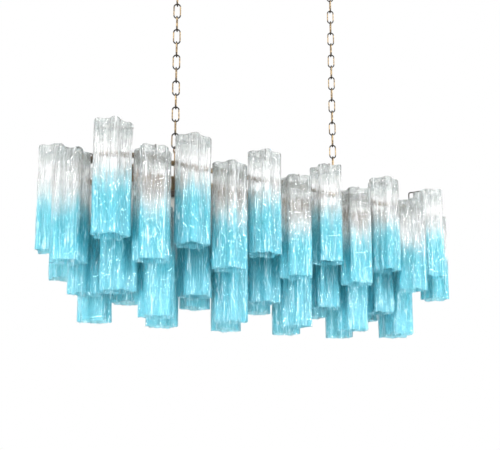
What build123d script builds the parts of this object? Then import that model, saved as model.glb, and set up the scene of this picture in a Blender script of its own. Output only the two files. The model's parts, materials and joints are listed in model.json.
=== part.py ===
from build123d import *
import math
import os

# Two-chain chandelier hung with star-section glass tubes, at real size in millimetres.
# Frame: +Z up, X along the chandelier's length, origin on the ceiling plane above its middle.

os.makedirs("parts", exist_ok=True)

# ---- glass tubes
tube_width = 100.0         # over the lobes
tube_length = 290.0
wall = 4.0
lobe_radius = 14.5
valley_radius = 36.5       # tube's axis to the bottom of a valley between two lobes
lobes = 5
pin_depth = 12.0           # pin centre below the rim

# ---- the two rings of tubes
pitch = 112.0              # along the long sides
row_half = 4 * pitch       # middle of the outer rows to their last tube
outer_row = 196.0          # distance of the outer rows from the long axis
inner_row = 108.0
outer_corner = (row_half + 104.0, 182.0)
outer_left_end = (row_half + 174.0, 70.0)
outer_right_end = (row_half + 214.0, 92.0)
inner_corner = (row_half + 46.0, 88.0)
inner_end = row_half + 100.0
drop_b = 53.0              # how far each kind of tube hangs below the highest kind
drop_c = 120.0
drop_d = 182.0

# ---- hooks and pins
hook_wire = 4.0
pin_diameter = 4.0
pin_fit = 0.08             # pin to the tube's holes and to the hook's bend, on the radius
pin_over = 1.0             # pin end past the glass
arm_rise = 8.0             # arm's centre above the rim
arm_bend = 5.0
tip_length = 16.0
tip_lean = 35.0

# ---- frame
rail_section = 11.0
rail_half = (row_half + 114.0, 139.0)
rail_corner = 88.0
rail_drop = 56.0           # rail's centre below the highest tubes' tops
bar_width = 20.0
bar_height = 8.0
band_thickness = 6.0
band_height = 42.0
band_half = (row_half + 37.0, 50.0)
band_corner = 40.0

# ---- chains and ceiling plate
chain_half = 295.0
chain_turn = -31.0         # both chains hang twisted by this much, in degrees
link_length = 49.3         # outside
link_width = 23.5
link_wire = 4.0
link_slack = 0.3
link_count = 18
eye_wire = 5.0
eye_radius = 9.0
eye_rod = 6.0
plate_size = (680.0, 60.0)
plate_thickness = 6.0
screw_spacing = (480.0, 36.0)
screw_hole = 4.5
hook_drop = 40.0           # centre of the ceiling hook's lowest wire below the ceiling
hook_radius = 10.0
hook_tip = 5.0
rosette = (22.0, 3.0)       # disc round each hook's root: diameter, thickness
tubes_below_eye = 50.0     # highest tubes' tops below the eye's top wire

# ---- lamps
holder_diameter = 40.0
holder_height = 46.0
socket_depth = 30.0
cap_diameter = 26.0
cap_length = 29.0
cap_fit = 0.3
globe_diameter = 60.0
globe_length = 78.0

# ---- values that follow
link_pitch = link_length - 2 * link_wire - link_slack
link_arc = (link_width - link_wire) / 2
link_straight = link_length - link_width
first_link = -hook_drop + eye_wire / 2 + link_slack + link_wire / 2 - (link_length - link_wire) / 2
last_link = first_link - (link_count - 1) * link_pitch
eye_top = last_link - (link_length - link_wire) / 2 + link_wire / 2 + link_slack + eye_wire / 2
top = eye_top - tubes_below_eye
rail_top = top - rail_drop + rail_section / 2
bar_top = top - rail_drop + bar_height / 2
bar_bottom = bar_top - bar_height
band_bottom = bar_bottom - band_height
lobe_centre = tube_width / 2 - lobe_radius
hook_bend = pin_diameter / 2 + pin_fit + hook_wire / 2
bar_places = [chain_half / 2 * k for k in range(-3, 4)]


def save(built, name):
    built.part.label = name
    export_step(built.part, f"parts/{name}.step")


def ring_foot(x, y, half, corner):
    """Distance and outward direction, in degrees, from a rounded rectangle's line to a point outside it."""
    cx = max(-(half[0] - corner), min(half[0] - corner, x))
    cy = max(-(half[1] - corner), min(half[1] - corner, y))
    return math.hypot(x - cx, y - cy) - corner, math.degrees(math.atan2(y - cy, x - cx))


def outer_places():
    """Outer ring, anticlockwise from the left end's front tube: x, y and drop, alternating all the way round."""
    front = [(-outer_left_end[0], -outer_left_end[1]), (-outer_corner[0], -outer_corner[1])]
    front += [(k * pitch, -outer_row) for k in range(-4, 5)]
    front += [(outer_corner[0], -outer_corner[1]), (outer_right_end[0], -outer_right_end[1])]
    ring = front + [(x, -y) for x, y in reversed(front)]
    return [(x, y, drop_b if k % 2 == 0 else 0.0) for k, (x, y) in enumerate(ring)]


def inner_places():
    """Inner ring: front row left to right, right end, back row right to left, left end."""
    front = [(-inner_corner[0], -inner_corner[1])]
    front += [((k + 0.5) * pitch, -inner_row) for k in range(-4, 4)]
    front += [(inner_corner[0], -inner_corner[1])]
    row = [(x, y, drop_c if k % 2 == 0 else drop_d) for k, (x, y) in enumerate(front)]
    back = [(-x, -y, drop) for x, y, drop in row]
    return row + [(inner_end, 0.0, drop_d)] + back + [(-inner_end, 0.0, drop_c)]


def polar(radius, degrees):
    return (radius * math.cos(math.radians(degrees)), radius * math.sin(math.radians(degrees)))


def star(shrink):
    """Lobed outline of tangent arcs, a lobe on +Y, set in by shrink: lobe arcs bulge out, valley arcs bulge in."""
    lean = math.cos(math.pi / lobes)
    valley_arc = (lobe_centre**2 + valley_radius**2 - 2 * lobe_centre * valley_radius * lean - lobe_radius**2) / (
        2 * (lobe_radius - valley_radius + lobe_centre * lean))
    valley_centre = valley_radius + valley_arc
    step = 360 / lobes
    share = (lobe_radius - shrink) / (lobe_radius + valley_arc)

    def meeting(lobe, valley):
        (x1, y1), (x2, y2) = polar(lobe_centre, lobe), polar(valley_centre, valley)
        return (x1 + (x2 - x1) * share, y1 + (y2 - y1) * share)

    with BuildSketch() as outline:
        with BuildLine():
            for k in range(lobes):
                lobe = 90 + k * step
                before, after, following = lobe - step / 2, lobe + step / 2, lobe + step
                ThreePointArc(meeting(lobe, before), polar(tube_width / 2 - shrink, lobe), meeting(lobe, after))
                ThreePointArc(meeting(lobe, after), polar(valley_radius - shrink, after), meeting(following, after))
        make_face()
    return outline.sketch


def arm_path(reach, start, heading, rim):
    """Hook's centre line in the X-Z plane: tube's axis at x = 0, wire leaves the frame at x = -reach."""
    arm = rim + arm_rise
    pin = rim - pin_depth
    with BuildLine(Plane.XZ) as path:
        Line((-reach, start), (-reach, arm - heading * arm_bend))
        up = JernArc((-reach, arm - heading * arm_bend), (0, heading), arm_bend, -heading * 90)
        Line(up @ 1, (-hook_bend - arm_bend, arm))
        JernArc((-hook_bend - arm_bend, arm), (1, 0), arm_bend, -90)
        Line((-hook_bend, arm - arm_bend), (-hook_bend, pin))
        JernArc((-hook_bend, pin), (0, -1), hook_bend, 180)
        Line((hook_bend, pin), (hook_bend, pin + 6))
        lean = JernArc((hook_bend, pin + 6), (0, 1), 6, -tip_lean)
        slope = math.radians(tip_lean)
        Line(lean @ 1, lean @ 1 + Vector(math.sin(slope), 0, math.cos(slope)) * tip_length)
    return path


def hook(reach, start, heading, rim):
    """One bent-wire hook in the X-Z plane, butted on the frame at its start."""
    route = arm_path(reach, start, heading, rim).wires()[0]
    with BuildPart() as wire:
        with BuildSketch(Plane(route @ 0, z_dir=route % 0)):
            Circle(hook_wire / 2)
        sweep(path=route)
    return wire.part


def ring_bar(half, corner, thickness, height, foot):
    """Closed ring of rectangular bar on a rounded rectangle, its lower face at foot."""
    with BuildPart() as ring:
        with BuildSketch(Plane.XY.offset(foot)):
            RectangleRounded(2 * half[0] + thickness, 2 * half[1] + thickness, corner + thickness / 2)
            RectangleRounded(2 * half[0] - thickness, 2 * half[1] - thickness, corner - thickness / 2,
                             mode=Mode.SUBTRACT)
        extrude(amount=height)
    return ring.part


def along_bars(piece, height):
    """The same piece under or on the middle of every cross bar."""
    with BuildPart() as row:
        with Locations(*[(x, 0, height) for x in bar_places]):
            add(piece)
    return row


# ---- one glass tube: rim at z = 0, pin along Y with a lobe over one end of it
with BuildPart() as tube_blank:
    with BuildSketch(Plane.XY.offset(-tube_length)):
        add(star(0))
        add(star(wall), mode=Mode.SUBTRACT)
    extrude(amount=tube_length)
    with Locations(Location((0, 0, -pin_depth), (90, 0, 0))):
        Cylinder(pin_diameter / 2 + pin_fit, tube_width + 10, mode=Mode.SUBTRACT)

# ---- its cross pin, reaching past the lobe on one side and the valley on the other
pin_reach = (-valley_radius - pin_over, tube_width / 2 + pin_over)
with BuildPart() as pin_blank:
    with BuildSketch(Plane.XZ.offset(-pin_reach[1])):
        with Locations((0, -pin_depth)):
            Circle(pin_diameter / 2)
    extrude(amount=pin_reach[1] - pin_reach[0])

# ---- every tube in its place, with its pin and its hook
pins, hooks = [], []
for ring, places, half, corner, start, heading in (
    ("outer", outer_places(), rail_half, rail_corner, rail_top, 1),
    ("inner", inner_places(), band_half, band_corner, band_bottom, -1),
):
    for k, (x, y, drop) in enumerate(places):
        reach, turn = ring_foot(x, y, half, corner)
        flip = 180 * (k * 7 // 3 % 2)
        with BuildPart() as glass:
            with Locations(Location((x, y, top - drop), (0, 0, turn + flip))):
                add(tube_blank.part)
        save(glass, f"glass_{ring}_{k + 1:02d}")
        pins.append(Location((x, y, top - drop), (0, 0, turn + flip)) * pin_blank.part)
        hooks.append(Location((x, y, 0), (0, 0, turn)) * hook(reach, start, heading, top - drop))

with BuildPart() as cross_pins:
    add(pins)
save(cross_pins, "cross_pins")

with BuildPart() as glass_hooks:
    add(hooks)
save(glass_hooks, "glass_hooks")

# ---- frame: a rail ring, cross bars between its long sides, a deep band ring under the bars
with BuildPart() as upper_rail:
    add(ring_bar(rail_half, rail_corner, rail_section, rail_section, rail_top - rail_section))
save(upper_rail, "upper_rail")

with BuildPart() as lower_band:
    add(ring_bar(band_half, band_corner, band_thickness, band_height, band_bottom))
save(lower_band, "lower_band")

with BuildPart() as cross_bars:
    with Locations(*[(x, 0, (bar_top + bar_bottom) / 2) for x in bar_places]):
        Box(bar_width, 2 * rail_half[1] - rail_section, bar_height)
save(cross_bars, "cross_bars")

# ---- chain eyes: a ring across the chandelier's length on a rod that stands on its cross bar
with BuildPart() as chain_eyes:
    for x in (-chain_half, chain_half):
        with Locations(Location((x, 0, eye_top - eye_radius), (0, 90, 0))):
            Torus(eye_radius, eye_wire / 2)
        with Locations((x, 0, bar_top)):
            Cylinder(eye_rod / 2, eye_top - 2 * eye_radius - bar_top,
                     align=(Align.CENTER, Align.CENTER, Align.MIN))
save(chain_eyes, "chain_eyes")

# ---- lamps: a holder under each cross bar and a bulb whose cap fills its socket
with BuildPart() as holder_blank:
    with Locations((0, 0, -holder_height)):
        Cylinder(holder_diameter / 2, holder_height, align=(Align.CENTER, Align.CENTER, Align.MIN))
    fillet(holder_blank.edges().filter_by(GeomType.CIRCLE).sort_by(Axis.Z)[0], 3)
    with Locations((0, 0, -holder_height)):
        Cylinder(cap_diameter / 2 + cap_fit, socket_depth, mode=Mode.SUBTRACT,
                 align=(Align.CENTER, Align.CENTER, Align.MIN))
lamp_holders = along_bars(holder_blank.part, bar_bottom)
save(lamp_holders, "lamp_holders")

with BuildPart() as bulb_blank:
    with BuildSketch(Plane.XZ):
        with BuildLine():
            neck = cap_diameter / 2 - 0.6
            widest = -cap_length - globe_length + globe_diameter / 2
            Polyline((0, 0), (8, 0), (cap_diameter / 2, -5), (cap_diameter / 2, -cap_length), (neck, -cap_length))
            Spline((neck, -cap_length), (globe_diameter / 2, widest), tangents=((0.15, -1), (0, -1)))
            JernArc((globe_diameter / 2, widest), (0, -1), globe_diameter / 2, -90)
            Line((0, widest - globe_diameter / 2), (0, 0))
        make_face()
    revolve(axis=Axis.Z)
bulbs = along_bars(bulb_blank.part, bar_bottom - holder_height + socket_depth)
save(bulbs, "bulbs")

# ---- chains: a quarter turn at every link, and the whole chain twisted a little
with BuildPart() as link_blank:
    with BuildLine(Plane.XZ) as link_line:
        half_straight = link_straight / 2
        Line((link_arc, -half_straight), (link_arc, half_straight))
        JernArc((link_arc, half_straight), (0, 1), link_arc, 180)
        Line((-link_arc, half_straight), (-link_arc, -half_straight))
        JernArc((-link_arc, -half_straight), (0, -1), link_arc, 180)
    link_route = link_line.wires()[0]
    with BuildSketch(Plane(link_route @ 0, z_dir=link_route % 0)):
        Circle(link_wire / 2)
    sweep(path=link_route)


def chain(places, links):
    """Links, counted from the ceiling, at each of the places along X."""
    with BuildPart() as run:
        for x in places:
            for k in links:
                with Locations(Location((x, 0, first_link - k * link_pitch), (0, 0, chain_turn + 90 * ((k + 1) % 2)))):
                    add(link_blank.part)
    return run


top_links = chain((-chain_half, chain_half), range(1))
save(top_links, "top_links")
left_chain = chain((-chain_half,), range(1, link_count))
save(left_chain, "left_chain")
right_chain = chain((chain_half,), range(1, link_count))
save(right_chain, "right_chain")

# ---- ceiling plate with its two hooks brazed on
with BuildPart() as ceiling_plate:
    with Locations((0, 0, -plate_thickness)):
        Box(*plate_size, plate_thickness, align=(Align.CENTER, Align.CENTER, Align.MIN))
    with Locations((0, 0, -plate_thickness)):
        with GridLocations(*screw_spacing, 2, 2):
            Cylinder(screw_hole / 2, 3 * plate_thickness, mode=Mode.SUBTRACT)
    for side in (-1, 1):
        stem = side * (chain_half + hook_radius)
        with BuildLine(Plane.XZ) as hook_line:
            Line((stem, -plate_thickness), (stem, hook_radius - hook_drop))
            JernArc((stem, hook_radius - hook_drop), (0, -1), hook_radius, -180 * side)
            rising = stem - 2 * side * hook_radius
            Line((rising, hook_radius - hook_drop), (rising, hook_radius - hook_drop + hook_tip))
        hook_route = hook_line.wires()[0]
        with BuildSketch(Plane(hook_route @ 0, z_dir=hook_route % 0)):
            Circle(eye_wire / 2)
        sweep(path=hook_route)
        with Locations((stem, 0, -plate_thickness - rosette[1])):
            Cylinder(rosette[0] / 2, rosette[1], align=(Align.CENTER, Align.CENTER, Align.MIN))
save(ceiling_plate, "ceiling_plate")
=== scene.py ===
"""Looks of a two-chain chandelier hung with star-section glass tubes, clear above and cyan below.

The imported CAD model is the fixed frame. Every glass tube is replaced by a fluted, hand-made one, and
every metal, lamp and ceiling piece keeps its CAD shape under a finish of its own.
"""

import json
import logging
import math
from dataclasses import dataclass
from enum import Enum
from typing import Any, Sequence

import bpy
import numpy as np
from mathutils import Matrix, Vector

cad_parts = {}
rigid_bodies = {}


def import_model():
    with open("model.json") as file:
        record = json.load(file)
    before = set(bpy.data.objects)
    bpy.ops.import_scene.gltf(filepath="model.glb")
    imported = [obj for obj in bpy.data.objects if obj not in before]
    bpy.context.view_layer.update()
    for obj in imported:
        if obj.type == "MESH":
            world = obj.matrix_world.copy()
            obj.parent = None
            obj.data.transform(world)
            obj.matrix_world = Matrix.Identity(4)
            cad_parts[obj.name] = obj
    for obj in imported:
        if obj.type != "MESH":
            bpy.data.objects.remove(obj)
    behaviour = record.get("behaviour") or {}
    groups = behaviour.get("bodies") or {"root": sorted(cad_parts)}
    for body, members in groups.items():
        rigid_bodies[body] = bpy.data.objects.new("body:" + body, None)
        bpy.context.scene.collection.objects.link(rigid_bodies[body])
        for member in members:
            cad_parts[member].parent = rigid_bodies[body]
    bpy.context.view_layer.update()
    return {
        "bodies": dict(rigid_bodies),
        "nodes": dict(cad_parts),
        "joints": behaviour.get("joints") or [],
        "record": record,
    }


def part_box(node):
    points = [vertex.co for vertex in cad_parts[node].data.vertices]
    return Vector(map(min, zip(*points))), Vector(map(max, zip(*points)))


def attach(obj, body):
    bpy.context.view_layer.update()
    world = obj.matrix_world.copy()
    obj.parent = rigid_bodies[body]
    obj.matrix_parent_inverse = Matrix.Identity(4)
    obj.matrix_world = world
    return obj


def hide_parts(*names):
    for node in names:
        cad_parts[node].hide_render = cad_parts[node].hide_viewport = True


log = logging.getLogger("chandelier")

Colour = tuple[float, float, float]
TURN = 2 * math.pi


# ---------------------------------------------------------------- shader maths


class Value:
    """A node socket that takes part in arithmetic, each operator adding one Math node."""

    def __init__(self, recipe: "Recipe", socket: bpy.types.NodeSocket) -> None:
        """Keeps the socket and the recipe it belongs to."""
        self.recipe = recipe
        self.socket = socket

    def _math(self, operation: str, *operands: "Value | float") -> "Value":
        """Adds a Math node.

        Args:
            operation: The Math node's operation.
            operands: Its inputs in order.

        Returns:
            The node's result.
        """
        return self.recipe.value("ShaderNodeMath", {"operation": operation}, dict(enumerate(operands)))

    def __add__(self, other: "Value | float") -> "Value":
        """self + other."""
        return self._math("ADD", self, other)

    def __radd__(self, other: float) -> "Value":
        """other + self."""
        return self._math("ADD", other, self)

    def __sub__(self, other: "Value | float") -> "Value":
        """self - other."""
        return self._math("SUBTRACT", self, other)

    def __rsub__(self, other: float) -> "Value":
        """other - self."""
        return self._math("SUBTRACT", other, self)

    def __mul__(self, other: "Value | float") -> "Value":
        """self * other."""
        return self._math("MULTIPLY", self, other)

    def __rmul__(self, other: float) -> "Value":
        """other * self."""
        return self._math("MULTIPLY", other, self)

    def __truediv__(self, other: "Value | float") -> "Value":
        """self / other."""
        return self._math("DIVIDE", self, other)

    def folded(self, period: float) -> "Value":
        """Distance to the nearest multiple of a period."""
        return self._math("PINGPONG", self, period / 2)

    def sine(self) -> "Value":
        """Sine of self, in radians."""
        return self._math("SINE", self)

    def bearing(self, other: "Value") -> "Value":
        """Angle of the direction (other, self), in radians."""
        return self._math("ARCTAN2", self, other)

    def larger(self, other: "Value") -> "Value":
        """The larger of self and other."""
        return self._math("MAXIMUM", self, other)

    def rise(self, low: float, high: float) -> "Value":
        """Smooth rise from 0 at low to 1 at high."""
        return self.recipe.value(
            "ShaderNodeMapRange",
            {"interpolation_type": "SMOOTHSTEP"},
            {"Value": self, "From Min": low, "From Max": high},
        )


class Recipe:
    """Nodes of one procedural material or world, made through one method."""

    def __init__(self, owner: bpy.types.Material | bpy.types.World) -> None:
        """Empties the owner's node tree."""
        self.owner = owner
        owner.use_nodes = True
        self.tree = owner.node_tree
        self.tree.nodes.clear()

    def node(self, kind: str, settings: dict[str, Any], inputs: dict[Any, Any]) -> bpy.types.Node:
        """Adds one node.

        Args:
            kind: The node's type name.
            settings: Its properties, which are set before its sockets.
            inputs: A value or a Value for each socket, by name or index.

        Returns:
            The new node.
        """
        made = self.tree.nodes.new(kind)
        for name, setting in settings.items():
            setattr(made, name, setting)
        for key, given in inputs.items():
            if isinstance(given, Value):
                self.tree.links.new(given.socket, made.inputs[key])
            elif isinstance(given, tuple) and len(made.inputs[key].default_value) == len(given) + 1:
                made.inputs[key].default_value = (*given, 1.0)
            else:
                made.inputs[key].default_value = given
        return made

    def value(self, kind: str, settings: dict[str, Any], inputs: dict[Any, Any], output: Any = 0) -> Value:
        """Adds one node and wraps one of its outputs."""
        return Value(self, self.node(kind, settings, inputs).outputs[output])


class Surface(Recipe):
    """One procedural material that is placed by Object coordinates."""

    def __init__(self, name: str) -> None:
        """Starts an empty material of this name."""
        super().__init__(bpy.data.materials.new(name))
        self.place = self.value("ShaderNodeTexCoord", {}, {}, "Object")

    def stretched(self, scale: Colour) -> Value:
        """Object coordinates scaled by a factor for each axis."""
        return self.value("ShaderNodeMapping", {}, {"Vector": self.place, "Scale": scale})

    def height(self) -> Value:
        """Object Z, in metres."""
        return self.value("ShaderNodeSeparateXYZ", {}, {"Vector": self.place}, "Z")

    def noise(self, scale: float, detail: float = 3.0, stretch: Colour = (1, 1, 1)) -> Value:
        """Noise about 0.5 with a given number of grains per metre along an axis of factor 1."""
        return self.value(
            "ShaderNodeTexNoise",
            {},
            {"Vector": self.stretched(stretch), "Scale": scale, "Detail": detail},
            "Fac",
        )

    def cells(self, scale: float, stretch: Colour = (1, 1, 1)) -> Value:
        """Distance to the nearest point of a scatter, in cell widths."""
        return self.value(
            "ShaderNodeTexVoronoi", {}, {"Vector": self.stretched(stretch), "Scale": scale}, "Distance"
        )

    def blend(self, share: Value | float, first: Colour | Value, second: Colour | Value) -> Value:
        """Colour from first, at share 0, to second, at share 1."""
        return self.value(
            "ShaderNodeMix", {"data_type": "RGBA"}, {"Factor": share, 6: first, 7: second}, 2
        )

    def bump(self, relief: Value, depth: float, strength: float = 1.0) -> Value:
        """Normal bent by a relief of a given depth in metres."""
        return self.value(
            "ShaderNodeBump", {}, {"Height": relief, "Distance": depth, "Strength": strength}, "Normal"
        )

    def coat(self, **sockets: Any) -> Value:
        """Adds a Principled shader, its sockets given by name with _ for each space."""
        named = {name.replace("_", " "): given for name, given in sockets.items()}
        return self.value("ShaderNodeBsdfPrincipled", {}, named, "BSDF")

    def done(self, shader: Value) -> bpy.types.Material:
        """Joins a shader to the output and returns the finished material."""
        self.node("ShaderNodeOutputMaterial", {}, {"Surface": shader})
        return self.owner

    def coated(self, **sockets: Any) -> bpy.types.Material:
        """Ends the recipe in one Principled shader with these sockets."""
        return self.done(self.coat(**sockets))


# ---------------------------------------------------------------- finishes


@dataclass(frozen=True)
class BlownGlass:
    """Glass that is clear at the rim and turns milky cyan below, with drawn grooves, seeds near the rim,
    painted shade in the grooves and painted highlights on the crests.

    Grains are per metre across the tube. Bands are stretches of the fade in which a layer comes in.
    """

    clear: Colour = (0.997, 0.999, 0.998)
    # Smoky tint of the rim and the seeds, also used as painted shade along the grooves of the clear part.
    smoke_and_groove_shade: Colour = (0.26, 0.36, 0.34)
    cyan: Colour = (0.47, 0.89, 0.935)
    deep: Colour = (0.56, 0.92, 0.955)
    milk: Colour = (0.12, 0.56, 0.68)
    deep_milk: Colour = (0.18, 0.62, 0.75)
    frost: Colour = (0.92, 0.94, 0.935)
    # Colour of the painted highlights: thin white streaks painted along the crests.
    painted_highlight: Colour = (0.93, 0.97, 0.98)
    blue_band: tuple[float, float] = (0.27, 0.60)
    deep_band: tuple[float, float] = (0.62, 1.02)
    mist_band: tuple[float, float] = (0.10, 0.38)
    rim_band: tuple[float, float] = (0.02, 0.085)
    cloudiness: float = 0.22
    groove_grains: float = 420.0
    streak_grains: float = 130.0
    cloud_grains: float = 16.0
    crease_grains: float = 190.0
    seed_grains: float = 270.0
    creases_per_grain: float = 3.2
    drawn: Colour = (1, 1, 0.05)
    crease_drawn: Colour = (1, 1, 0.065)
    groove_depth: float = 0.0016
    clear_depth_share: float = 0.45
    index: float = 1.46

    def material(self) -> bpy.types.Material:
        """Makes the glass. The piece's attribute fade runs from 0 at the rim to 1 at the foot."""
        r = Surface("blown_glass")
        fade = r.value("ShaderNodeAttribute", {"attribute_name": "fade"}, {}, "Fac")
        grooves = r.noise(self.groove_grains, 2.0, self.drawn)
        streaks = r.noise(self.streak_grains, 3.0, self.drawn)
        clouds = r.noise(self.cloud_grains, 2.0)
        crease_noise = r.noise(self.crease_grains, 1.5, self.crease_drawn)
        creases = 2 * (self.creases_per_grain * crease_noise).folded(1.0)
        blue = (fade + 0.50 * (streaks - 0.5) + 0.16 * (clouds - 0.5)).rise(*self.blue_band)
        lower = (fade + 0.20 * (clouds - 0.5)).rise(*self.deep_band)
        mist = (fade + 0.30 * (streaks - 0.5)).rise(*self.mist_band)
        rim = 1 - (fade + 0.05 * (streaks - 0.5)).rise(*self.rim_band)
        seeds = 1 - r.cells(self.seed_grains).rise(0.20, 0.48)
        grain = rim * (0.15 + 0.85 * seeds)
        # Painted shade: the grooves of the clear part are tinted dark, in place of the dark lines that
        # refraction draws.
        lines = (1 - creases).rise(0.86, 0.98) * grooves.rise(0.42, 0.56) * (1 - blue)
        # Painted highlight: white streaks along the crests, painted into the milky colour and its share.
        painted_glint = creases.rise(0.80, 0.97) * streaks.rise(0.42, 0.60)
        # Smoky rim and seeds, with painted shade along the grooves in the same tint.
        tint = r.blend(grain.larger(0.75 * lines), self.clear, self.smoke_and_groove_shade)
        tint = r.blend(blue, tint, self.cyan)
        tint = r.blend(lower, tint, self.deep)
        cloud = r.blend(blue, self.frost, r.blend(lower, self.milk, self.deep_milk))
        # Painted highlight streaks laid over the milky colour.
        cloud = r.blend(0.85 * painted_glint, cloud, self.painted_highlight)
        relief = 0.45 * grooves + 0.5 * creases + 0.6 * streaks + 0.5 * rim * seeds
        bent = r.bump(relief, self.groove_depth)
        softly_bent = r.bump(relief, self.groove_depth * self.clear_depth_share)
        gloss = 0.01 + 0.04 * blue + 0.03 * streaks
        glass = r.coat(
            Base_Color=tint, Roughness=gloss, IOR=self.index, Transmission_Weight=1.0, Normal=softly_bent
        )
        opal = r.coat(Base_Color=cloud, Roughness=0.06 + gloss, IOR=self.index, Normal=bent)
        share = 0.02 + 0.08 * grain + 0.08 * mist
        # The painted highlights also raise the share of the milky shader.
        share = share + self.cloudiness * blue * (0.7 + 0.6 * streaks) + painted_glint * (0.50 - 0.20 * blue)
        return r.done(r.value("ShaderNodeMixShader", {}, {"Fac": share, 1: glass, 2: opal}))


@dataclass(frozen=True)
class AgedBrass:
    """Brass with a brown patina that is rubbed back in patches."""

    name: str
    bright: Colour = (0.30, 0.21, 0.11)
    dull: Colour = (0.12, 0.082, 0.048)
    dark: Colour = (0.03, 0.022, 0.015)
    patina: float = 0.56

    def material(self) -> bpy.types.Material:
        """Makes the brass, with patina as the share of dark surface."""
        r = Surface(self.name)
        patches = r.noise(38.0, 6.0)
        mottle = r.noise(210.0, 4.0)
        scratches = r.noise(520.0, 3.0, (1, 0.15, 1))
        worn = (patches + 0.5 * (mottle - 0.5)).rise(self.patina - 0.14, self.patina + 0.14)
        base = r.blend(worn, self.dull, self.bright)
        base = r.blend((mottle + 0.3 * (scratches - 0.5)).rise(0.60, 0.74) * 0.8, base, self.dark)
        return r.coated(
            Base_Color=base,
            Metallic=0.55 + 0.45 * worn,
            Roughness=0.46 - 0.16 * worn + 0.12 * scratches,
            Normal=r.bump(mottle + 0.4 * scratches, 0.00022),
        )


@dataclass(frozen=True)
class ChainBrass:
    """Chain brass, rubbed bright along the sides of its links and black where they bear on each other."""

    bright: Colour = (0.50, 0.37, 0.21)
    dull: Colour = (0.17, 0.12, 0.07)
    soot: Colour = (0.020, 0.016, 0.012)

    def material(self, first_link: float, pitch: float) -> bpy.types.Material:
        """Makes the brass.

        Args:
            first_link: Height of the middle of one link, in metres.
            pitch: Distance between the middles of two links.

        Returns:
            The material.
        """
        r = Surface("chain_brass")
        away = (r.height() - first_link).folded(pitch)
        mottle = r.noise(160.0, 5.0)
        ends = (away + 0.004 * (mottle - 0.5)).rise(0.26 * pitch, 0.40 * pitch)
        base = r.blend(mottle.rise(0.38, 0.62), self.dull, self.bright)
        base = r.blend(ends, base, self.soot)
        return r.coated(
            Base_Color=base,
            Metallic=0.9 - 0.5 * ends,
            Roughness=0.34 + 0.2 * ends + 0.1 * mottle,
            Normal=r.bump(mottle, 0.0002),
        )


@dataclass(frozen=True)
class DrawnSteel:
    """Bright drawn steel wire for the cross pins."""

    bright: Colour = (0.56, 0.55, 0.53)
    dull: Colour = (0.30, 0.29, 0.28)

    def material(self) -> bpy.types.Material:
        """Makes the steel with faint drawing lines and dull spots."""
        r = Surface("drawn_steel")
        spots = r.noise(240.0, 4.0)
        lines = r.noise(900.0, 2.0, (0.1, 0.1, 1))
        return r.coated(
            Base_Color=r.blend(spots.rise(0.35, 0.7), self.bright, self.dull),
            Metallic=1.0,
            Roughness=0.24 + 0.2 * lines,
            Normal=r.bump(lines, 0.00005),
        )


@dataclass(frozen=True)
class HolderShell:
    """Moulded lamp holder in dark brown, dusted on top and faintly speckled."""

    body: Colour = (0.10, 0.075, 0.055)
    dust: Colour = (0.20, 0.175, 0.15)

    def material(self, top: float, height: float) -> bpy.types.Material:
        """Makes the shell, ringed by moulded steps between its top and its foot."""
        r = Surface("holder_shell")
        speckle = r.noise(420.0, 4.0)
        down = (top - r.height()) / height
        rings = (down * (TURN * 9)).sine()
        return r.coated(
            Base_Color=r.blend((speckle + 0.3 - down).rise(0.35, 0.9), self.body, self.dust),
            Roughness=0.42 + 0.2 * speckle,
            Coat_Weight=0.2,
            Normal=r.bump(0.6 * rings + 0.15 * speckle, 0.0005),
        )


@dataclass(frozen=True)
class FrostedLamp:
    """Frosted bulb: warm white glass below, a threaded bright cap above."""

    frost: Colour = (0.86, 0.84, 0.79)
    veil: Colour = (0.76, 0.74, 0.70)
    cap: Colour = (0.66, 0.64, 0.58)
    thread_pitch: float = 0.0036

    def material(self, cap_foot: float) -> bpy.types.Material:
        """Makes the lamp.

        Args:
            cap_foot: Height where the metal cap ends and the glass begins, in metres.

        Returns:
            The material.
        """
        r = Surface("frosted_lamp")
        up = r.height() - cap_foot
        metal = up.rise(-0.0004, 0.0004)
        grain = r.noise(700.0, 3.0)
        cloud = r.noise(28.0, 3.0)
        thread = (up * (TURN / self.thread_pitch)).sine() * metal
        glass = r.blend(cloud.rise(0.3, 0.7), self.frost, self.veil)
        return r.coated(
            Base_Color=r.blend(metal, glass, self.cap),
            Metallic=metal,
            Roughness=0.46 - 0.18 * metal + 0.1 * grain,
            Normal=r.bump(thread + 0.1 * grain, 0.0004),
        )


class Fade(Enum):
    """How far down its tube the clear glass reaches, added to the fade of the colour."""

    HIGH = -0.07
    LOW = -0.09
    INNER = 0.10
    INNERMOST = 0.16


# ---------------------------------------------------------------- mesh work


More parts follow.
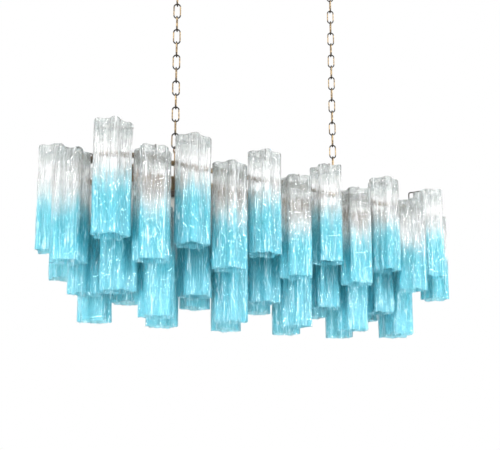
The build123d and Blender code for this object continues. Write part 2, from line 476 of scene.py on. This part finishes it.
def ring_mesh(name: str, points: np.ndarray) -> bpy.types.Object:
    """Makes a closed surface from a grid that joins up with itself both ways, like a hoop's skin.

    Each face joins four neighbours of the grid, the last row and column to the first. The sign of the
    enclosed volume, a sixth of the sum of each face's corner . (corner x corner), says which way round
    the faces point outwards.

    Args:
        name: The new object's name.
        points: Positions, shaped rows x columns x 3.

    Returns:
        The object, at the origin.
    """
    rows, columns, _ = points.shape
    index = np.arange(rows * columns).reshape(rows, columns)
    along, across = np.roll(index, -1, axis=0), np.roll(index, -1, axis=1)
    corner = np.roll(along, -1, axis=1)
    faces = np.stack([index, across, corner, along], axis=-1).reshape(-1, 4)
    flat = points.reshape(-1, 3)
    a, b, c, d = (flat[faces[:, k]] for k in range(4))
    volume = np.einsum("ij,ij->", a, np.cross(b, c)) + np.einsum("ij,ij->", a, np.cross(c, d))
    if volume < 0:
        faces = faces[:, ::-1]
    mesh = bpy.data.meshes.new(name)
    mesh.vertices.add(len(flat))
    mesh.vertices.foreach_set("co", flat.astype(np.float32).ravel())
    mesh.loops.add(faces.size)
    mesh.loops.foreach_set("vertex_index", faces.astype(np.int32).ravel())
    mesh.polygons.add(len(faces))
    mesh.polygons.foreach_set("loop_start", np.arange(0, faces.size, 4, dtype=np.int32))
    mesh.polygons.foreach_set("use_smooth", np.ones(len(faces), dtype=bool))
    mesh.update(calc_edges=True)
    mesh.validate()
    made = bpy.data.objects.new(name, mesh)
    bpy.context.scene.collection.objects.link(made)
    return made


def waves(
    rng: np.random.Generator, share: np.ndarray, counts: Sequence[int], drift: np.ndarray
) -> np.ndarray:
    """Sum of sines round a closed outline, about -1 to 1.

    Each is sin(2 pi (count * share + phase + sway * drift)) / number of sines, so it closes on itself.

    Args:
        rng: Source of the phases and sways.
        share: Place round the outline, 0 to 1.
        counts: Whole waves round the outline.
        drift: Depth down the tube, 0 to 1, as a column.

    Returns:
        The sum, shaped as drift x share.
    """
    total = np.zeros(np.broadcast(share, drift).shape)
    for count in counts:
        phase, sway = rng.uniform(0, 1), rng.uniform(-1.6, 1.6)
        total += np.sin(TURN * (count * share + phase + sway * drift))
    return total / len(counts)


@dataclass
class StarOutline:
    """Five-lobed outline of tangent arcs, in metres, with lobe 0 on the +X axis."""

    width: float = 0.100
    lobe_radius: float = 0.0145
    valley: float = 0.0365
    lobes: int = 5

    def radius(self, angle: np.ndarray) -> np.ndarray:
        """Distance from the axis to the outline.

        A lobe is a circle of radius a whose centre is c out: r = c cos t + sqrt(a^2 - c^2 sin^2 t).
        A valley is a circle of radius b whose centre is e out, outside the outline, between two lobes:
        r = e cos s - sqrt(b^2 - e^2 sin^2 s). They meet on the line of their centres.

        Args:
            angle: Directions in radians.

        Returns:
            The distance for each direction.
        """
        half = math.pi / self.lobes
        a, c = self.lobe_radius, self.width / 2 - self.lobe_radius
        b = (c**2 + self.valley**2 - 2 * c * self.valley * math.cos(half) - a**2) / (
            2 * (a - self.valley + c * math.cos(half))
        )
        e = self.valley + b
        meeting = c + (e * np.exp(1j * half) - c) * a / (a + b)
        t = np.abs((angle + half) % (2 * half) - half)
        s = half - t
        lobe = c * np.cos(t) + np.sqrt(np.maximum(a**2 - (c * np.sin(t)) ** 2, 0))
        hollow = e * np.cos(s) - np.sqrt(np.maximum(b**2 - (e * np.sin(s)) ** 2, 0))
        return np.where(t < np.angle(meeting), lobe, hollow)

    def even(self, count: int) -> tuple[np.ndarray, np.ndarray]:
        """Points at equal steps of arc length, and the outward normal at each.

        Args:
            count: How many points.

        Returns:
            Points and normals, each shaped count x 2.
        """
        dense = np.linspace(0, TURN, 12001)
        line = self.radius(dense)[:, None] * np.stack([np.cos(dense), np.sin(dense)], axis=1)
        run = np.concatenate([[0], np.cumsum(np.linalg.norm(np.diff(line, axis=0), axis=1))])
        wanted = np.arange(count) / count * run[-1]
        points = np.stack([np.interp(wanted, run, line[:, k]) for k in range(2)], axis=1)
        ahead = np.roll(points, -1, axis=0) - np.roll(points, 1, axis=0)
        normals = np.stack([ahead[:, 1], -ahead[:, 0]], axis=1)
        return points, normals / np.linalg.norm(normals, axis=1, keepdims=True)


@dataclass
class GlassTube:
    """One hand-made tube: a thin star-section wall, fluted like bark outside and gently inside."""

    name: str
    centre: tuple[float, float]
    rim: float
    foot: float
    lobe_turn: float
    seed: int
    fade: Fade
    wall: float = 0.004
    flute_depth: float = 0.0018
    broad_flutes: int = 37
    fine_flutes: int = 71
    waver: float = 0.0007
    rim_waver: float = 0.0024
    foot_waver: float = 0.0026
    around: int = 350
    outer_rows: int = 26
    inner_rows: int = 8
    lip_rows: int = 3

    def section(self) -> tuple[np.ndarray, np.ndarray]:
        """The wall's own section as a closed loop: up the outside, over the lip, down inside, round the foot.

        Returns:
            Distance in from the outer face, and depth below the rim, one of each for each row.
        """
        half = self.wall / 2
        length = self.rim - self.foot
        bend = np.linspace(0, math.pi, self.lip_rows + 2)[1:-1]
        outside = np.linspace(length - half, half, self.outer_rows)
        inside = np.linspace(half, length - half, self.inner_rows)
        inset = [np.zeros(self.outer_rows), half - half * np.cos(bend)]
        inset += [np.full(self.inner_rows, self.wall), half + half * np.cos(bend)]
        depth = [outside, half - half * np.sin(bend), inside, length - half + half * np.sin(bend)]
        return np.concatenate(inset), np.concatenate(depth)

    def flutes(self, rng: np.random.Generator, share: np.ndarray, down: np.ndarray) -> np.ndarray:
        """Relief of the outer face, 0 to about 1: rounded ridges with sharp grooves between them.

        Two sets of |sin(pi n q)| ridges are mixed, where q is the place round the outline bent by slow
        waves, so that ridges wander, widen and fade in and out down the tube like bark.
        """
        bent = share + 0.010 * waves(rng, share, (2, 5, 9), 0.8 * down)
        bent = bent + 0.003 * waves(rng, share, (17, 23), 2.3 * down)
        wander = 0.30 * np.sin(TURN * (1.1 * down + rng.uniform()))
        broad = np.abs(np.sin(math.pi * (self.broad_flutes * bent + wander)))
        wander = 0.45 * np.sin(TURN * (1.7 * down + rng.uniform()))
        fine = np.abs(np.sin(math.pi * (self.fine_flutes * bent + wander)))
        share_of_fine = 0.45 + 0.45 * waves(rng, share, (3, 7, 11), 1.6 * down)
        strength = 0.72 + 0.5 * waves(rng, share, (4, 6, 13), 2.2 * down)
        return (broad * (1 - share_of_fine) + fine * share_of_fine) * strength

    def surface(self) -> tuple[np.ndarray, np.ndarray]:
        """Positions of the closed wall and the share of the way down at each.

        A point is the outline's point plus its normal times (relief - inset), turned about the tube's
        axis and set at its depth. Rim and foot rise and fall by slow waves that fade out within 30 mm.

        Returns:
            Positions, shaped rows x around x 3, and shares shaped rows x around.
        """
        rng = np.random.default_rng(self.seed)
        inset, depth = self.section()
        length = self.rim - self.foot
        share = np.arange(self.around)[None, :] / self.around
        down = (depth / length)[:, None]
        outline, normal = StarOutline().even(self.around)
        outside = 1 - (inset / self.wall)[:, None]
        relief = self.flute_depth * (self.flutes(rng, share, down) - 0.6) * (0.25 + 0.75 * outside)
        relief = relief + self.waver * waves(rng, share, (2, 3, 5), 0.5 * down)
        out = relief - inset[:, None]
        flat = outline[None, :, :] + normal[None, :, :] * out[:, :, None]
        turned = (flat[..., 0] + 1j * flat[..., 1]) * np.exp(1j * self.lobe_turn)
        level = np.zeros_like(down)
        near_rim = np.exp(-depth[:, None] / 0.012)
        near_foot = np.exp(-(length - depth[:, None]) / 0.012)
        lift = self.rim_waver * near_rim * waves(rng, share, (2, 5, 7, 12), level)
        lift = lift + self.foot_waver * near_foot * waves(rng, share, (3, 5, 8, 17, 26), level)
        height = self.rim - depth[:, None] + lift
        x, y = self.centre[0] + turned.real, self.centre[1] + turned.imag
        fade = np.broadcast_to(down, x.shape) + self.fade.value + rng.uniform(-0.025, 0.025)
        return np.stack([x, y, height], axis=-1), fade

    def build(self, glass: bpy.types.Material) -> bpy.types.Object:
        """Makes the tube's object with its fade attribute, in glass."""
        points, fade = self.surface()
        made = ring_mesh(self.name, points)
        layer = made.data.attributes.new("fade", "FLOAT", "POINT")
        layer.data.foreach_set("value", fade.astype(np.float32).ravel())
        made.data.materials.append(glass)
        return made


# ---------------------------------------------------------------- sub-assemblies


@dataclass
class GlassSkirt:
    """Both rings of tubes, each tube on its own body and standing for its CAD node."""

    frame: dict[str, Any]
    finish: BlownGlass = BlownGlass()

    def lobe_turn(self, node: bpy.types.Object, centre: np.ndarray, axis: np.ndarray) -> float:
        """Direction of the lobe that the pin passes under, in radians.

        The pin lies along the hinge's axis. A lobe is over one end of it and a valley over the other, so
        the lobe's end is the one that the CAD tube reaches further along.
        """
        flat = np.empty(len(node.data.vertices) * 3, dtype=np.float32)
        node.data.vertices.foreach_get("co", flat)
        reach = (flat.reshape(-1, 3)[:, :2] - centre) @ axis
        sense = 1 if reach.max() > -reach.min() else -1
        return math.atan2(sense * axis[1], sense * axis[0])

    def tops(self) -> dict[str, float]:
        """Height of each tube's rim by its body."""
        bodies = [joint["child"] for joint in self.frame["joints"] if "glass" in joint["child"]]
        return {body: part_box(body)[1][2] for body in bodies}

    def rim(self) -> float:
        """Height of the highest rim."""
        return max(self.tops().values())

    def build(self) -> int:
        """Makes every tube. Returns how many."""
        glass = self.finish.material()
        tops = self.tops()
        levels = sorted({round(top, 3) for top in tops.values()}, reverse=True)
        kinds = dict(zip(levels, Fade))
        hinges = {j["child"]: j for j in self.frame["joints"] if j["child"] in tops}
        for count, (body, hinge) in enumerate(sorted(hinges.items())):
            low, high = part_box(body)
            centre, axis = np.array(hinge["pos_m"][:2]), np.array(hinge["axis"][:2])
            tube = GlassTube(
                name=body.replace("glass", "fluted_tube"),
                centre=(centre[0], centre[1]),
                rim=high[2],
                foot=low[2],
                lobe_turn=self.lobe_turn(self.frame["nodes"][body], centre, axis),
                seed=100 + count,
                fade=kinds[round(tops[body], 3)],
            ).build(glass)
            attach(tube, body)
            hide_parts(body)
        log.info("%d glass tubes at levels %s", len(hinges), levels)
        return len(hinges)


@dataclass
class Metalwork:
    """Frame, hooks, pins and ceiling plate: CAD shapes under brass and steel."""

    frame: dict[str, Any]
    rail: AgedBrass = AgedBrass("aged_brass")
    hooks: AgedBrass = AgedBrass(
        "darkened_brass", (0.07, 0.052, 0.035), (0.028, 0.022, 0.016), (0.01, 0.008, 0.006), 0.62
    )
    pins: DrawnSteel = DrawnSteel()

    def dress(self) -> None:
        """Gives each metal node its finish."""
        rail, hooks, pins = self.rail.material(), self.hooks.material(), self.pins.material()
        for name in ("upper_rail", "lower_band", "cross_bars", "chain_eyes", "ceiling_plate"):
            coat(self.frame, name, rail)
        coat(self.frame, "glass_hooks", hooks)
        coat(self.frame, "cross_pins", pins)


@dataclass
class Chains:
    """Two chains of oval links and their two top links."""

    frame: dict[str, Any]
    link_length: float = 0.0493
    pitch: float = 0.041
    finish: ChainBrass = ChainBrass()

    def dress(self) -> None:
        """Gives the links their finish, timed to the links by the top link's middle."""
        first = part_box("top_links")[1][2] - self.link_length / 2
        brass = self.finish.material(first, self.pitch)
        for name in ("top_links", "left_chain", "right_chain"):
            coat(self.frame, name, brass)


@dataclass
class Lamps:
    """Seven holders under the cross bars and the bulbs in them."""

    frame: dict[str, Any]
    cap_length: float = 0.029
    shell: HolderShell = HolderShell()
    bulb: FrostedLamp = FrostedLamp()

    def dress(self) -> None:
        """Gives holders and bulbs their finishes."""
        low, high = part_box("lamp_holders")
        coat(self.frame, "lamp_holders", self.shell.material(high[2], high[2] - low[2]))
        coat(self.frame, "bulbs", self.bulb.material(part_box("bulbs")[1][2] - self.cap_length))


def coat(frame: dict[str, Any], name: str, material: bpy.types.Material) -> None:
    """Puts a material in every slot of a CAD node."""
    node = frame["nodes"][name]
    if not node.material_slots:
        node.data.materials.append(material)
    for slot in node.material_slots:
        slot.material = material
    log.info("%s in %s", name, material.name)


# ---------------------------------------------------------------- studio


@dataclass
class Studio:
    """White room, pale floor, strip lights, a top light and the camera, all placed from the highest rim."""

    rim: float
    stand: tuple[float, float] = (-1.1235, -1.7618)
    below_rim: float = 0.687
    yaw: float = 0.553
    pitch: float = 0.14
    lens: float = 49.4
    shift: float = 0.156
    floor_drop: float = 1.70
    floor_size: float = 6.0
    floor_tints: tuple[Colour, Colour] = ((0.94, 0.94, 0.94), (0.91, 0.91, 0.91))
    columns: float = 9.0
    dim: float = 0.90
    aim_drop: float = 0.22
    strip_size: tuple[float, float] = (0.16, 2.6)
    strip_watts: float = 120.0
    glass_bounces: int = 40

    def camera(self) -> None:
        """Stands the camera in front and to the left, below the tubes and looking up a little."""
        data = bpy.data.cameras.new("camera")
        data.lens, data.sensor_width, data.shift_y = self.lens, 36.0, self.shift
        data.clip_end = 100.0
        made = bpy.data.objects.new("camera", data)
        made.location = (*self.stand, self.rim - self.below_rim)
        made.rotation_euler = (math.pi / 2 + self.pitch, 0, -self.yaw)
        bpy.context.scene.collection.objects.link(made)
        bpy.context.scene.camera = made

    def strip(self, name: str, place: Colour, size: tuple[float, float], watts: float) -> None:
        """Adds a soft rectangular light that faces the middle of the tubes.

        Args:
            name: The light's name.
            place: Its place, with the height above the rims.
            size: Its width and height.
            watts: Its power.
        """
        data = bpy.data.lights.new(name, "AREA")
        data.shape, data.size, data.size_y, data.energy = "RECTANGLE", size[0], size[1], watts
        made = bpy.data.objects.new(name, data)
        made.location = (place[0], place[1], self.rim + place[2])
        aim = Vector((0, 0, self.rim - self.aim_drop)) - made.location
        made.rotation_euler = aim.to_track_quat("-Z", "Y").to_euler()
        bpy.context.scene.collection.objects.link(made)

    def floor(self) -> None:
        """Lays a pale, faintly mottled floor far below the tubes."""
        half = self.floor_size / 2
        corners = np.array([(-half, -half), (half, -half), (half, half), (-half, half)])
        points = np.column_stack([corners, np.full(4, self.rim - self.floor_drop)])
        mesh = bpy.data.meshes.new("floor")
        mesh.from_pydata(points.tolist(), [], [(0, 1, 2, 3)])
        made = bpy.data.objects.new("floor", mesh)
        bpy.context.scene.collection.objects.link(made)
        r = Surface("pale_floor")
        shade = r.blend(r.noise(3.0, 4.0).rise(0.3, 0.7), *self.floor_tints)
        mesh.materials.append(r.coated(Base_Color=shade, Roughness=0.7))

    def room(self) -> None:
        """Sets white surroundings, in which glass and metal see soft darker columns between bright ones."""
        world = bpy.data.worlds.new("room")
        bpy.context.scene.world = world
        r = Recipe(world)
        way = r.value("ShaderNodeTexCoord", {}, {}, "Generated")
        east, north = (r.value("ShaderNodeSeparateXYZ", {}, {"Vector": way}, k) for k in "XY")
        columns = (east.bearing(north) * self.columns).sine().rise(-0.7, 0.5)
        seen = r.value("ShaderNodeLightPath", {}, {}, "Is Camera Ray")
        strength = (self.dim + (1 - self.dim) * columns).larger(seen)
        white = (1.0, 1.0, 1.0)
        back = r.value("ShaderNodeBackground", {}, {"Color": white, "Strength": strength}, "Background")
        r.node("ShaderNodeOutputWorld", {}, {"Surface": back})

    def build(self) -> None:
        """Sets up the room, its lights and the camera, and lets light pass through many walls of glass."""
        self.camera()
        self.room()
        self.floor()
        self.strip("left_strip", (-3.0, -1.6, -0.2), self.strip_size, self.strip_watts)
        self.strip("right_strip", (1.6, -3.0, -0.2), self.strip_size, self.strip_watts)
        self.strip("top_light", (0.0, -0.6, 1.6), (2.4, 1.2), 30.0)
        scene = bpy.context.scene
        scene.view_settings.view_transform = "Standard"
        scene.cycles.max_bounces = self.glass_bounces
        scene.cycles.transmission_bounces = self.glass_bounces
        scene.cycles.glossy_bounces = 8
        scene.cycles.transparent_max_bounces = 16
        log.info("studio ready")


def main() -> None:
    """Loads the frame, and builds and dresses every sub-assembly."""
    logging.basicConfig(level=logging.INFO, format="%(name)s: %(message)s")
    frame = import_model()
    skirt = GlassSkirt(frame)
    rim = skirt.rim()
    skirt.build()
    Metalwork(frame).dress()
    Chains(frame).dress()
    Lamps(frame).dress()
    Studio(rim).build()


if __name__ == "__main__":
    main()
